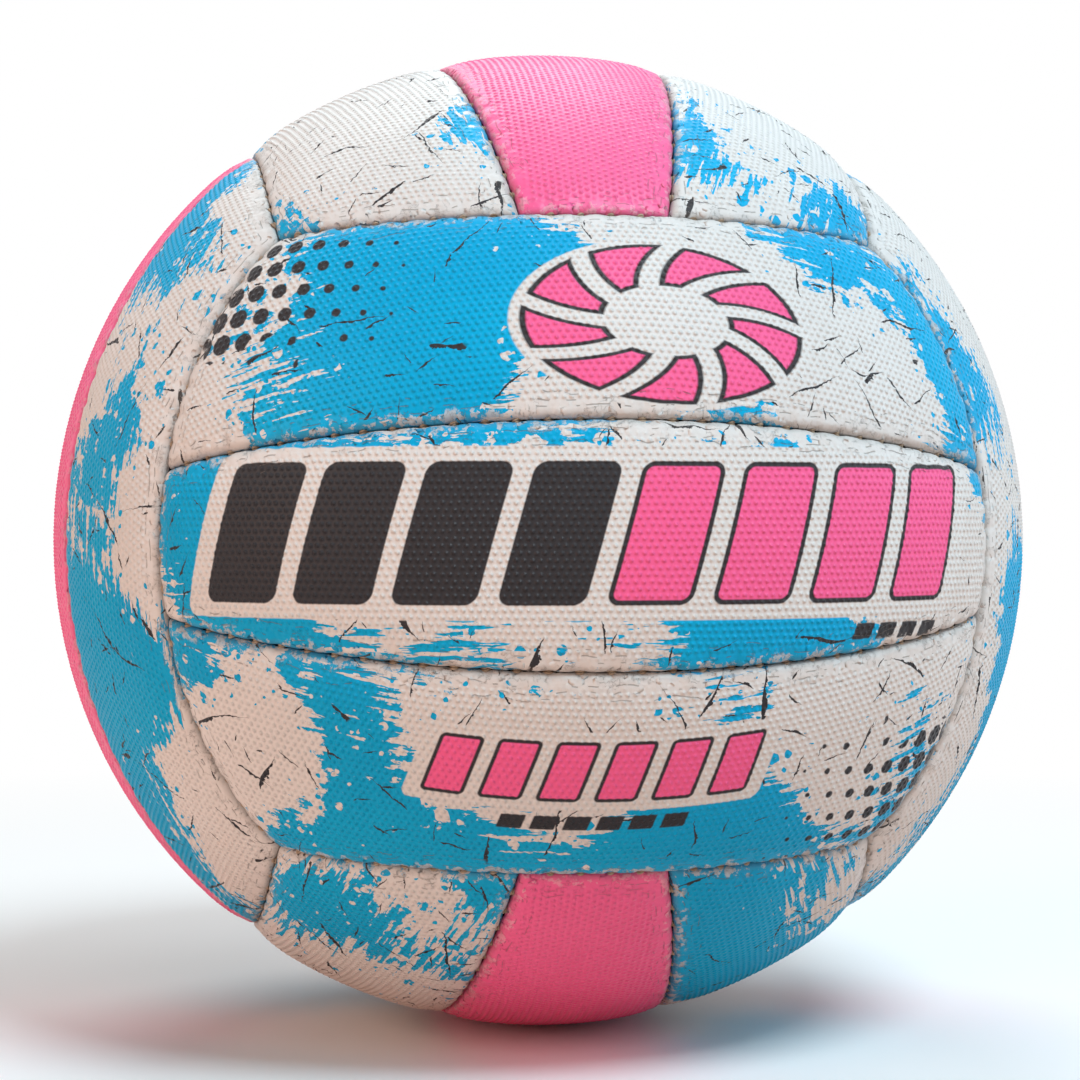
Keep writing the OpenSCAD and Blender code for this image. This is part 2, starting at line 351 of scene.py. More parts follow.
def wavy(run, seed):
    """A smooth unevenness along a seam: a sum of four waves with seeded phases."""
    phase = np.random.default_rng(seed).uniform(0, 2 * math.pi, 4)
    return (np.sin(run * 2.05 + phase[0]) + 0.8 * np.sin(run * 2.9 + phase[1])
            + 0.7 * np.sin(run * 1.19 + phase[2]) + 0.6 * np.sin(run * 0.43 + phase[3])) / 2


def rolled(p, seams, cover, seed, behind):
    """Carries points of the flat sheet to the pillowed and rolled-in panel. Past the start of a lip the
    distance from the seam becomes an angle round the lip's radius and then a straight wall, so the sheet
    keeps its thickness. Every stitch pulls the lips apart and down, and a waviness fades away from each
    seam. Returns the directions and radii of the places, the smallest distance from a seam, and the share
    of a full pimple."""
    wall = cover.rubber_wall / MM if behind else 0.0
    pull = cover.pucker / MM
    move = np.zeros_like(p)
    sink = np.zeros(len(p))
    nearest = np.full(len(p), FAR)
    for k, seam in enumerate(seams):
        distance, away, run = seam.read(p)
        start = SEAM_GAP + seam.lip
        arc = np.maximum(start - distance, 0)
        angle = np.minimum(arc / seam.lip, math.pi / 2)
        wall_run = 0.5 * np.maximum(arc - seam.lip * math.pi / 2, 0)
        radius = seam.lip - wall
        rolled_to = np.where(arc > 0, start - radius * np.sin(angle), distance)
        near = np.exp(-np.maximum(distance - start, 0) / PULL_FADE)
        stitch = np.exp(-(seam.to_stitch(run) / PULL_WIDTH) ** 2)
        move += away * (rolled_to - distance + pull * stitch * near)[:, None]
        lip_sink = np.where(arc > 0, seam.lip - radius * np.cos(angle) + wall_run, wall) - wall
        if len(seam.stitches):
            share = np.clip((distance - start) / (cover.pillow_width / MM), 0, 1)
            lip_sink += seam.drop * (1 - share) ** 2
            lip_sink += near * (0.9 * pull * stitch + 0.07 * wavy(run, seed + k))
        sink += lip_sink
        nearest = np.minimum(nearest, distance)
    sink = np.where(sink > DEEPEST_SINK, DEEPEST_SINK + np.tanh(sink - DEEPEST_SINK), sink)
    full = np.clip((nearest - 1.6) / 3.4, 0, 1)
    full = full * full * (3 - 2 * full)
    q = p + move / BALL_R
    q /= np.linalg.norm(q, axis=1)[:, None]
    return q, BALL_R - wall - sink, nearest, full


def panel_points(sheet, cover, seed):
    """Points of one panel, with their places on the strip, their distances from the nearest seam and their
    shares of a pimple. A cell's middle is lifted by the pimple's height and its ring by a little of it.
    Seeded chance puts the pimples slightly out of line and makes them uneven, and they fade towards the
    seams."""
    dice = np.random.default_rng(seed)
    cells, corners = sheet["cells"], sheet["corners"]
    count = len(cells)
    centre = cells + dice.normal(0, 0.045, cells.shape)
    full = rolled(on_ball(cells, sheet["tilt"]), sheet["seams"], cover, seed, False)[3]
    foot = sheet["foot"] + (1.0 - sheet["foot"]) * 0.5 * (1 - full)
    ring = centre[:, None, :] + sheet["ring"] * foot[:, None, None]
    place = np.concatenate([centre, ring.reshape(-1, 2), corners])
    unit, level, nearest, share = rolled(
        on_ball(place, sheet["tilt"]), sheet["seams"], cover, seed, False)
    height = cover.pimple_height / MM * dice.uniform(0.8, 1.15, count)
    level[:count] += height * share[:count]
    level[count:7 * count] += 0.12 * np.repeat(height, 6) * share[count:7 * count]
    back_unit, back_level, back_near, _ = rolled(
        on_ball(corners, sheet["tilt"]), sheet["seams"], cover, seed, True)
    points = np.concatenate([unit * level[:, None], back_unit * back_level[:, None]])
    pimples = np.zeros(len(points))
    pimples[:count] = share[:count] * height / (cover.pimple_height / MM)
    return points, np.concatenate([place, corners]), np.concatenate([nearest, back_near]), pimples


def new_mesh_piece(name, points, faces, material):
    """A piece at the origin from whole arrays of points and of triangles, riding on the part's one body."""
    mesh = bpy.data.meshes.new(name)
    mesh.vertices.add(len(points))
    mesh.vertices.foreach_set("co", (points * MM).astype(np.float32).ravel())
    sides = faces.shape[1]
    mesh.loops.add(faces.size)
    mesh.loops.foreach_set("vertex_index", faces.astype(np.int32).ravel())
    mesh.polygons.add(len(faces))
    mesh.polygons.foreach_set("loop_start", np.arange(0, faces.size, sides, dtype=np.int32))
    mesh.update(calc_edges=True)
    mesh.polygons.foreach_set("use_smooth", np.full(len(faces), True))
    mesh.materials.append(material)
    piece = bpy.data.objects.new(name, mesh)
    bpy.context.scene.collection.objects.link(piece)
    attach(piece, "root")
    return piece


def add_readings(mesh, faces, place, nearest, pimples):
    """Stores the print's place as a UV map, in units of 100 mm, and as attributes the distance from the
    nearest seam, in mm, and the pimples, 1 at the top of a full one and 0 at its foot."""
    uv = mesh.uv_layers.new(name="print_place")
    uv.data.foreach_set("uv", (place[faces.ravel()] / 100).astype(np.float32).ravel())
    for label, values in (("seam_distance", nearest), ("pimple", pimples)):
        layer = mesh.attributes.new(label, "FLOAT", "POINT")
        layer.data.foreach_set("value", values.astype(np.float32))


def strand_faces(strands, rings, sides):
    """Triangles of many closed strands, each of rings of sides points with a pole at either end."""
    ring = np.arange(rings - 1)[:, None] * sides
    k = np.arange(sides)
    a, b = ring + k, ring + (k + 1) % sides
    c, d = b + sides, a + sides
    first, last = rings * sides, rings * sides + 1
    end = (rings - 1) * sides
    one = np.concatenate([
        np.stack([a, b, c], -1).reshape(-1, 3), np.stack([a, c, d], -1).reshape(-1, 3),
        np.stack([np.full(sides, first), (k + 1) % sides, k], 1),
        np.stack([np.full(sides, last), end + k, end + (k + 1) % sides], 1)])
    return (one[None] + (rings * sides + 2) * np.arange(strands)[:, None, None]).reshape(-1, 3)


def lacing_points(face, seams, lacing, seed):
    """Points and faces of the thread that shows at every stitch of a face's four long seams: two strands
    side by side, each a tube of circles along an arch that dips by the square of its length, slanted across
    the seam."""
    dice = np.random.default_rng(seed)
    radius = lacing.strand_radius / MM
    t = np.linspace(-1, 1, STRAND_RINGS)
    turn = 2 * math.pi * np.arange(STRAND_SIDES) / STRAND_SIDES
    all_points = []
    for name in ("upper_outer", "upper_inner"):
        seam = seams[name]
        phi = seam.stitches
        level = BALL_R - lacing.stitch_depth / MM + dice.normal(0, 0.06, len(phi))
        out = (math.cos(seam.lat) * (np.cos(phi)[:, None] * seam.middle + np.sin(phi)[:, None] * seam.side)
               + math.sin(seam.lat) * seam.axis)
        run = -np.sin(phi)[:, None] * seam.middle + np.cos(phi)[:, None] * seam.side
        across = np.cross(out, run)
        slant = dice.normal(0.22, 0.10, len(phi))
        for side in (-1, 1):
            reach = STRAND_REACH + dice.normal(0, 0.10, len(phi))
            x = reach[:, None] * t
            y = side * STRAND_APART + slant[:, None] * t
            z = -STRAND_DIP * t ** 2 + 0.10 * side
            path = ((out * level[:, None])[:, None] + x[..., None] * run[:, None]
                    + y[..., None] * across[:, None] + z[:, None] * out[:, None])
            along = np.gradient(path, axis=1)
            along /= np.linalg.norm(along, axis=2)[..., None]
            wide = np.cross(along, out[:, None] * np.ones_like(along))
            wide /= np.linalg.norm(wide, axis=2)[..., None]
            deep = np.cross(along, wide)
            thick = radius * (1 - 0.25 * t ** 4)
            circle = np.cos(turn)[:, None] * wide[:, :, None] + np.sin(turn)[:, None] * deep[:, :, None]
            tube = path[:, :, None] + thick[:, None, None] * circle
            cap = radius * 0.4
            poles = np.stack([path[:, 0] - along[:, 0] * cap, path[:, -1] + along[:, -1] * cap], 1)
            all_points.append(np.concatenate([tube.reshape(len(phi), -1, 3), poles], 1).reshape(-1, 3))
    half = np.concatenate(all_points)
    both = np.concatenate([half @ face_turn(face), half @ face_turn(face, True)])
    strands = len(both) // (STRAND_RINGS * STRAND_SIDES + 2)
    return both, strand_faces(strands, STRAND_RINGS, STRAND_SIDES)


# ---------------------------------------------------------------- finishes

VECTOR, NUMBER, COLOUR = "NodeSocketVector", "NodeSocketFloat", "NodeSocketColor"
INK_EDGE = 0.003
# Cells a unit, greatest half width, turn of the sheet, and how rare the scratches are
SCRATCHES = ((3.0, 0.0030, 0.0, 0.40), (3.9, 0.0021, 40.0, 0.36), (5.1, 0.0052, 75.0, 0.58),
             (7.0, 0.0022, 20.0, 0.40), (12.0, 0.0018, 55.0, 0.45))
# Depth of each crease below the seam's edge and how far it sways
CREASES = ((2.3, 2.2), (3.6, 3.0), (5.0, 3.4))
DOT_PITCH, DOT_ROW = 0.060, 0.056
RING_BLADES = 9
WIDE_BARS = {"pitch": 0.212, "width": 0.172, "height": 0.28, "half_row": 0.847, "slant": 0.28}
SMALL_BARS = {"pitch": 0.115, "width": 0.088, "height": 0.135, "half_row": 0.345, "slant": 0.30}
DASHES = {"pitch": 0.066, "width": 0.050, "height": 0.034, "slant": 0.30}
MOTIFS = {
    "front_upper": {"ring": (-0.12, 0.03, 0), "dots": 180},
    "front_middle": {"bars": WIDE_BARS, "bars_at": (0.0, -0.025, 0), "outline": 0.010, "border": 0.030,
                     "pink_from": 0, "dashes": 0.132, "dashes_at": (-0.66, 0.175, 0)},
    "front_lower": {"bars": SMALL_BARS, "bars_at": (0.02, -0.03, 0), "outline": 0.008, "border": 0.020,
                    "pink_from": -10, "dashes": 0.198, "dashes_at": (0.02, 0.088, 0), "dots": 0},
    "back_upper": {"ring": (-0.12, 0.03, 0)},
    "back_middle": {"bars": WIDE_BARS, "bars_at": (0.0, 0.0, 0), "outline": 0.010, "border": 0.030,
                    "pink_from": 0},
    "back_lower": {"dots": 0},
    "left_rear": {"dots": 0},
    "right_rear": {"dots": 180},
}


def feed(tree, place, value):
    """Links a Term or a socket to an input, or sets the input to a plain value."""
    if isinstance(value, Term):
        value = value.socket
    if isinstance(value, bpy.types.NodeSocket):
        tree.links.new(value, place)
    else:
        place.default_value = value


class Term:
    """A value in a node tree. Sums, products and the methods below add the Math nodes that work them
    out."""

    def __init__(self, tree, socket):
        self.tree, self.socket = tree, socket

    def op(self, operation, *others, clamp=False):
        """The result of a Math node on this value and the others."""
        node = self.tree.nodes.new("ShaderNodeMath")
        node.operation, node.use_clamp = operation, clamp
        for place, value in zip(node.inputs, (self,) + others):
            feed(self.tree, place, value)
        return Term(self.tree, node.outputs[0])

    def __add__(self, other):
        return self.op("ADD", other)

    def __sub__(self, other):
        return self.op("SUBTRACT", other)

    def __mul__(self, other):
        return self.op("MULTIPLY", other)

    def __truediv__(self, other):
        return self.op("DIVIDE", other)

    def __neg__(self):
        return self.op("MULTIPLY", -1.0)

    __radd__, __rmul__ = __add__, __mul__

    def less_from(self, number):
        """The number less this value."""
        return (-self) + number

    def size(self):
        """The value without its sign."""
        return self.op("ABSOLUTE")

    def clamped(self):
        """The value kept between 0 and 1."""
        return self.op("ADD", 0.0, clamp=True)

    def above(self, low, soft):
        """0 below low, 1 above it, with an edge of the given softness."""
        return ((self - low) / soft + 0.5).clamped()

    def below(self, high, soft):
        """1 below high, 0 above it, with an edge of the given softness."""
        return self.less_from(high).above(0.0, soft)

    def either(self, other):
        """The greater of two values, which for masks is either of them."""
        return self.op("MAXIMUM", other)


def texture(tree, kind, vector, scale, dims="2D", **settings):
    """A procedural texture node that reads a vector."""
    node = tree.nodes.new(kind)
    for label in ("noise_dimensions", "voronoi_dimensions"):
        if hasattr(node, label):
            setattr(node, label, dims)
    for label, value in {"vector": vector, "scale": scale, **settings}.items():
        feed(tree, node.inputs[label.capitalize()], value)
    return node


def noise(tree, vector, scale, detail=2.0, roughness=0.5, dims="2D"):
    """Smooth seeded noise between 0 and 1, about 0.5 on average."""
    node = texture(tree, "ShaderNodeTexNoise", vector, scale, dims, detail=detail, roughness=roughness)
    return Term(tree, node.outputs[0])


def cells(tree, vector, scale):
    """Random cells: the distance from a cell's point, its three chance values, and the point's x and y."""
    node = texture(tree, "ShaderNodeTexVoronoi", vector, scale)
    x, y, _ = vector_parts(tree, node.outputs["Position"])
    return Term(tree, node.outputs["Distance"]), vector_parts(tree, node.outputs["Color"]), (x, y)


def vector_parts(tree, socket):
    """The three parts of a vector."""
    node = tree.nodes.new("ShaderNodeSeparateXYZ")
    tree.links.new(socket, node.inputs[0])
    return [Term(tree, part) for part in node.outputs]


def vector_of(tree, x, y):
    """A vector socket of two values."""
    node = tree.nodes.new("ShaderNodeCombineXYZ")
    feed(tree, node.inputs[0], x)
    feed(tree, node.inputs[1], y)
    return node.outputs[0]


def moved(tree, socket, shift=(0, 0, 0), turn=0.0, stretch=(1, 1, 1)):
    """A vector stretched, turned by an angle in degrees and shifted."""
    node = tree.nodes.new("ShaderNodeMapping")
    feed(tree, node.inputs["Vector"], socket)
    node.inputs["Location"].default_value = shift
    node.inputs["Rotation"].default_value = (0, 0, math.radians(turn))
    node.inputs["Scale"].default_value = stretch
    return node.outputs[0]


def painted(tree, under, over, mask):
    """A colour socket: under, with over on it where the mask is 1."""
    node = tree.nodes.new("ShaderNodeMix")
    node.data_type = "RGBA"
    node.clamp_factor = True
    for place, value in zip((node.inputs["Factor"], node.inputs[6], node.inputs[7]), (mask, under, over)):
        feed(tree, place, value)
    return node.outputs[2]


def new_group(name, inputs, outputs):
    """A shader node group with named sockets. Returns the tree, its input sockets, and a function that
    links values to its outputs."""
    tree = bpy.data.node_groups.new(name, "ShaderNodeTree")
    for label, kind, default in inputs:
        socket = tree.interface.new_socket(label, in_out="INPUT", socket_type=kind)
        if default is not None:
            socket.default_value = default
    for label, kind in outputs:
        tree.interface.new_socket(label, in_out="OUTPUT", socket_type=kind)
    given = tree.nodes.new("NodeGroupInput").outputs
    results = tree.nodes.new("NodeGroupOutput").inputs

    def give(*values):
        for (label, _), value in zip(outputs, values):
            feed(tree, results[label], value)
        return tree

    return tree, given, give


def use_group(tree, group, **links):
    """A node that uses a group, with its named inputs linked or set."""
    node = tree.nodes.new("ShaderNodeGroup")
    node.node_tree = group
    for label, value in links.items():
        feed(tree, node.inputs[label.replace("_", " ").capitalize()], value)
    return node


def splash_print_group():
    """Splashed ink with ragged brushed edges and drops on both sides of them, and short dark scratches."""
    tree, given, give = new_group("splash print", [("Place", VECTOR, None), ("Bareness", NUMBER, 0.5)],
                                  [("Splash", NUMBER), ("Scratches", NUMBER)])
    place = given["Place"]
    broad = noise(tree, place, 1.55, 1.0, 0.4)
    ragged = noise(tree, place, 15.0, 8.0, 0.62)
    brushed = noise(tree, moved(tree, place, turn=-34, stretch=(7.0, 62.0, 1)), 1.0, 3.0, 0.6)
    kind = noise(tree, moved(tree, place, shift=(2, 6, 0)), 2.6, 1.0).above(0.5, 0.22)
    roughness = (ragged - 0.5) * (kind * 0.26 + 0.05)
    streaks = (brushed - 0.5) * (kind * -0.26 + 0.36)
    field = broad + roughness + streaks - Term(tree, given["Bareness"])
    splash = field.above(0.0, 0.006)
    bend = noise(tree, moved(tree, place, shift=(0.4, 0.7, 0)), 30.0, 2.0)
    x, y, _ = vector_parts(tree, place)
    bent = vector_of(tree, x + (bend - 0.5) * 0.02, y + (bend - 0.5) * -0.016)
    for scale, bare in ((19.0, True), (33.0, True), (24.0, False), (47.0, False)):
        distance, (red, green, _), _ = cells(tree, bent, scale)
        drop = (red * red * 0.34 - distance).above(0.0, 0.02)
        if bare:
            splash = splash * (drop * (green - field * 3.2).above(0.62, 0.02)).less_from(1.0)
        else:
            splash = splash.either(drop * (green + field * 4.5).above(0.52, 0.02))
    thicket = noise(tree, moved(tree, place, shift=(5, 2, 0)), 3.6, 2.0)
    scratches = None
    for scale, wide, turn, rarity in SCRATCHES:
        sheet = moved(tree, place, shift=(scale, 2 * scale, 0), turn=turn)
        _, (red, green, blue), (cell_x, cell_y) = cells(tree, sheet, scale)
        x, y, _ = vector_parts(tree, sheet)
        dx, dy = x - cell_x, y - cell_y
        angle = red * math.pi
        cos, sin = angle.op("COSINE"), angle.op("SINE")
        kink = noise(tree, sheet, 38.0, 3.0, 0.7)
        sway = noise(tree, moved(tree, sheet, shift=(0, 3, 0)), 9.0, 1.0)
        run = dx * cos + dy * sin
        off = dy * cos - dx * sin + (kink - 0.5) * 0.011 + (sway - 0.5) * 0.035
        reach = green * (0.30 / scale) + 0.10 / scale
        taper = (run.size() / reach).less_from(1.0)
        width = (run / reach).less_from(1.2) * taper.op("SQRT") * wide * (kink * 3.0 - 0.6)
        line = (width * 0.85 - off.size()).above(0.0, 0.0008) * taper.above(0.03, 0.04)
        line = line * (blue * 0.55 + thicket - 0.30).above(rarity, 0.01)
        scratches = line if scratches is None else scratches.either(line)
    return give(splash, scratches)


def halftone_group():
    """A patch of round dots on a slanted grid that shrink along it and end at a ragged edge."""
    tree, given, give = new_group(
        "halftone dots", [("Place", VECTOR, None), ("From", NUMBER, 0.4), ("Length", NUMBER, 0.4)],
        [("Dots", NUMBER)])
    x, y, _ = vector_parts(tree, moved(tree, given["Place"], turn=14))
    along = (Term(tree, given["From"]) - x) / Term(tree, given["Length"])
    ragged = noise(tree, given["Place"], 9.0, 3.0)
    row = (y / DOT_ROW).op("FLOOR")
    cell_x = (x / DOT_PITCH + row * 0.5).op("FRACT") - 0.5
    cell_y = (y / DOT_ROW).op("FRACT") - 0.5
    distance = (cell_x * cell_x + cell_y * cell_y).op("SQRT")
    dots = (along.less_from(1.0) * 0.44 + 0.05 - distance).above(0.0, 0.05)
    inside = (along + (ragged - 0.5) * 0.5).above(0.02, 0.02) * along.below(1.0, 0.02)
    band = (y + (ragged - 0.5) * 0.25).size().below(0.155, 0.005)
    return give(dots * inside * band)


def box_distance(over_x, over_y):
    """Distance from a box, below 0 inside it, from how far a point lies past each pair of its sides."""
    out_x, out_y = over_x.either(0.0), over_y.either(0.0)
    return (out_x * out_x + out_y * out_y).op("SQRT") + over_x.either(over_y).op("MINIMUM", 0.0)


def slanted_bars_group():
    """A row of equal slanted bars with round corners: distances from the nearest bar and from the whole
    row, below 0 inside them, and the bar's number from the middle."""
    tree, given, give = new_group(
        "slanted bars",
        [("Place", VECTOR, None), ("Pitch", NUMBER, 0.2), ("Width", NUMBER, 0.15), ("Height", NUMBER, 0.3),
         ("Half row", NUMBER, 0.8), ("Slant", NUMBER, 0.25)],
        [("Distance", NUMBER), ("Number", NUMBER), ("Row distance", NUMBER)])
    x, y, _ = vector_parts(tree, given["Place"])
    pitch, width, height, half_row, slant = (
        Term(tree, given[label]) for label in ("Pitch", "Width", "Height", "Half row", "Slant"))
    leaned = x - y * slant
    number = (leaned / pitch).op("FLOOR")
    local = (leaned / pitch - number - 0.5) * pitch
    corner = height * 0.09
    bar = box_distance(local.size() - (width * 0.5 - corner), y.size() - (height * 0.5 - corner)) - corner
    past_row = leaned.size() - half_row
    return give(bar.either(past_row), number, box_distance(past_row, y.size() - height * 0.5))


def wear_and_shade_group():
    """What play and the lacing do to a rubber's colour, and its surface: a pale rub on the lip, broken
    hairline creases that follow the seam, darkened with painted shade, brown grime mixed with painted shade
    down in the groove, fine grain, and the smooth domes of the pimples."""
    tree, given, give = new_group(
        "rubber wear and painted shade",
        [("Colour", COLOUR, None), ("Rubbed", COLOUR, None), ("Cracks", NUMBER, 0.45),
         ("Distance", NUMBER, 0.0), ("Pimple", NUMBER, 0.0), ("Place", VECTOR, None)],
        [("Colour", COLOUR), ("Roughness", NUMBER), ("Height", NUMBER)])
    place = given["Place"]
    cracks, distance, pimple = (Term(tree, given[label]) for label in ("Cracks", "Distance", "Pimple"))
    flecks = noise(tree, place, 60.0, 5.0, 0.65)
    drift = noise(tree, place, 11.0, 2.0)
    patches = noise(tree, moved(tree, place, shift=(3, 1, 0)), 22.0, 3.0)
    grain = noise(tree, place, 260.0, 3.0, 0.6)
    uneven = noise(tree, place, 4.0, 3.0)
    rub = (flecks * 0.75 + patches * 0.5 - (distance - 0.9).size() * 0.055).above(0.64, 0.05)
    rub = rub * distance.below(2.6, 1.2)
    branch = noise(tree, moved(tree, place, shift=(0, 9, 0)), 52.0, 3.0, 0.6) - 0.5
    branch = branch.size().below(0.012, 0.006) * (patches - distance * 0.035).above(0.46, 0.02)
    crease = branch * distance.below(4.0, 1.0) * 0.8
    for level, swing in CREASES:
        line = (distance - ((drift - 0.5) * swing + level)).size().below(0.11, 0.05)
        broken = noise(tree, moved(tree, place, shift=(level, 0, 0)), 34.0, 2.0) - distance * 0.006
        crease = crease.either(line * broken.above(0.55, 0.02))
    # Darker down in the groove next to the seam: partly brown grime, partly painted shade
    groove_grime_and_shade = distance.below(1.0, 1.6)
    colour = painted(tree, given["Colour"], given["Rubbed"], rub * 0.7)
    # The hairline creases are darkened with painted shade, as strongly as the crease shade input asks
    colour = painted(tree, colour, (0.20, 0.175, 0.16, 1), crease * cracks)
    colour = painted(tree, colour, (0.16, 0.12, 0.09, 1), groove_grime_and_shade * 0.3)
    dome = pimple * pimple * (pimple * 2.0).less_from(3.0)
    swell = (patches - 0.5) * distance.below(4.5, 2.0) * 2.4
    height = dome * 2.4 + grain * 0.2 + crease * -1.6 + flecks * 0.25 + swell
    return give(colour, uneven * 0.10 + grain * 0.10 + rub * 0.15 + 0.30, height)


def dusty_rubber_group():
    """Black moulded rubber under grey dust, with a fine grain."""
    tree, given, give = new_group("dusty rubber", [("Place", VECTOR, None), ("Scale", NUMBER, 900.0)],
                                  [("Colour", COLOUR), ("Grain", NUMBER)])
    scale = Term(tree, given["Scale"])
    grain = noise(tree, given["Place"], scale, 4.0, 0.6, "3D")
    dust = noise(tree, given["Place"], scale * 0.08, 3.0, 0.55, "3D")
    return give(painted(tree, (0.018, 0.018, 0.020, 1), (0.06, 0.058, 0.055, 1), (dust - 0.45) * 2.0), grain)


def new_material(name):
    """A material with its node tree and its Principled shader."""
    material = bpy.data.materials.new(name)
    material.use_nodes = True
    tree = material.node_tree
    return material, tree, tree.nodes["Principled BSDF"]


def surface(tree, shader, colour, roughness, height, strength, distance):
    """Links a colour and a roughness to a shader, and a height through a bump to its normal."""
    bump = tree.nodes.new("ShaderNodeBump")
    bump.inputs["Strength"].default_value = strength
    bump.inputs["Distance"].default_value = distance
    feed(tree, bump.inputs["Height"], height)
    feed(tree, shader.inputs["Base Color"], colour)
    feed(tree, shader.inputs["Roughness"], roughness)
    feed(tree, shader.inputs["Normal"], bump.outputs["Normal"])


def print_place(tree, shift):
    """The place on the strip, in units of 100 mm, and the same moved to the panel's own part of the
    print."""
    uv = tree.nodes.new("ShaderNodeUVMap")
    uv.uv_map = "print_place"
    return uv.outputs[0], moved(tree, uv.outputs[0], shift=shift)


def reading(tree, label):
    """The value of a mesh attribute."""
    node = tree.nodes.new("ShaderNodeAttribute")
    node.attribute_type = "GEOMETRY"
    node.attribute_name = label
    return Term(tree, node.outputs["Fac"])


def object_place(tree):
    """Object coordinates, which are the frame's own, because every piece sits at the origin."""
    return tree.nodes.new("ShaderNodeTexCoord").outputs["Object"]


def finish_rubber(tree, shader, groups, colour, place, rubbed, cracks, shine):
    """Adds wear, painted shade in the creases, and grime with painted shade in the groove to a rubber's
    colour, and gives it its sheen, its grain and its pimples.
    """
    wear_and_shade = use_group(tree, groups["wear_and_shade"], colour=colour, rubbed=rubbed, cracks=cracks, place=place,
                     distance=reading(tree, "seam_distance"), pimple=reading(tree, "pimple"))
    surface(tree, shader, wear_and_shade.outputs["Colour"], wear_and_shade.outputs["Roughness"], wear_and_shade.outputs["Height"],
            1.0, 0.12 * MM)
    shader.inputs["Specular IOR Level"].default_value = shine


def printed_rubber(name, groups, colours, shift, bareness, motif):
    """Pale rubber with the splash print, and on some panels a patch of dots, a row of bars or a ring."""
    material, tree, shader = new_material(name)
    place, own = print_place(tree, shift)
    ground, pink, charcoal = tuple(colours.ground), tuple(colours.pink), tuple(colours.charcoal)
    splash = use_group(tree, groups["splash"], place=own, bareness=bareness)
    age = noise(tree, own, 2.5, 2.0)
    aged_ground = painted(tree, ground, (0.70, 0.68, 0.665, 1), (age - 0.35) * 1.4)
    aged_ink = painted(tree, tuple(colours.splash), (0.0, 0.46, 0.79, 1), (age - 0.40) * 1.6)
    colour = painted(tree, aged_ground, aged_ink, splash.outputs["Splash"])
    colour = painted(tree, colour, charcoal, splash.outputs["Scratches"])
    if "dots" in motif:
        patch = moved(tree, place, turn=motif["dots"])
        dots = use_group(tree, groups["dots"], place=patch, **{"from": 0.90, "length": 0.50})
        colour = painted(tree, colour, charcoal, dots.outputs["Dots"])
    if "bars" in motif:
        at = moved(tree, place, shift=motif["bars_at"])
        bars = use_group(tree, groups["bars"], place=at, **motif["bars"])
        distance, number, row = (
            Term(tree, bars.outputs[label]) for label in ("Distance", "Number", "Row distance"))
        is_pink = (number + 0.5).above(motif["pink_from"], 0.1)
        colour = painted(tree, colour, ground, row.below(motif["border"], INK_EDGE))
        colour = painted(tree, colour, charcoal, distance.below(0.0, INK_EDGE))
        colour = painted(tree, colour, pink, distance.below(-motif["outline"], INK_EDGE) * is_pink)
    if "dashes" in motif:
        at = moved(tree, place, shift=motif["dashes_at"])
        dashes = use_group(tree, groups["bars"], place=at, half_row=motif["dashes"], **DASHES)
        ink = Term(tree, dashes.outputs["Distance"]).below(0.0, INK_EDGE)
        colour = painted(tree, colour, charcoal, ink)
    if "ring" in motif:
        x, y, _ = vector_parts(tree, moved(tree, place, shift=motif["ring"]))
        x = x * 0.6
        reach = (x * x + y * y).op("SQRT")
        blade = (y.op("ARCTAN2", x) * (RING_BLADES / (2 * math.pi)) + reach * 5.0).op("FRACT")
        gap = (blade - 0.5).size().less_from(0.5) * reach * (2 * math.pi / RING_BLADES)
        distance = ((reach - 0.127).size() - 0.050).either(gap.less_from(0.013))
        colour = painted(tree, colour, ground, reach.below(0.190, INK_EDGE))
        colour = painted(tree, colour, charcoal, distance.below(0.0, INK_EDGE))
        colour = painted(tree, colour, pink, distance.below(-0.008, INK_EDGE))
    # 0.45 sets how strongly the creases are darkened with painted shade
    finish_rubber(tree, shader, groups, colour, own, (0.66, 0.65, 0.64, 1), 0.45, 0.14)
    return material


def pink_rubber(name, groups, colours, shift):
    """Pink rubber, a little uneven in tone and pale where its lips are rubbed."""
    material, tree, shader = new_material(name)
    _, own = print_place(tree, shift)
    tone = noise(tree, own, 3.0, 3.0)
    pink = tuple(colours.pink)
    deep = (pink[0] * 0.93, pink[1] * 0.8, pink[2] * 0.9, 1)
    colour = painted(tree, pink, deep, (tone - 0.35) * 1.5)
    # 0.3 sets how strongly the creases are darkened with painted shade
    finish_rubber(tree, shader, groups, colour, own, (0.88, 0.40, 0.52, 1), 0.3, 0.34)
    return material


def waxed_thread(colours):
    """Twisted waxed thread, beige with brown wax and dirt in it."""
    material, tree, shader = new_material("waxed thread")
    at = object_place(tree)
    dirt = noise(tree, at, 420.0, 3.0, 0.6, "3D")
    strands = noise(tree, at, 2600.0, 2.0, 0.6, "3D")
    colour = painted(tree, tuple(colours.thread), (0.21, 0.13, 0.075, 1), (dirt - 0.38) * 2.6)
    surface(tree, shader, colour, strands * 0.2 + 0.5, strands, 0.6, 0.1 * MM)
    return material


def lining_cloth():
    """Plain-woven lining cloth: crossed sine waves on the nodes' own coordinates, and glue stains."""
    material, tree, shader = new_material("lining cloth")
    at = object_place(tree)
    x, y, z = vector_parts(tree, at)
    weave = (x * 5200.0).op("SINE") * (z * 5200.0).op("SINE") * (y * 5200.0 + 0.8).op("SINE")
    stain = noise(tree, at, 40.0, 3.0, 0.6, "3D")
    colour = painted(tree, (0.56, 0.53, 0.45, 1), (0.40, 0.33, 0.22, 1), (stain - 0.45) * 3.0)
    surface(tree, shader, colour, stain * 0.15 + 0.75, weave, 0.5, 0.15 * MM)
    return material


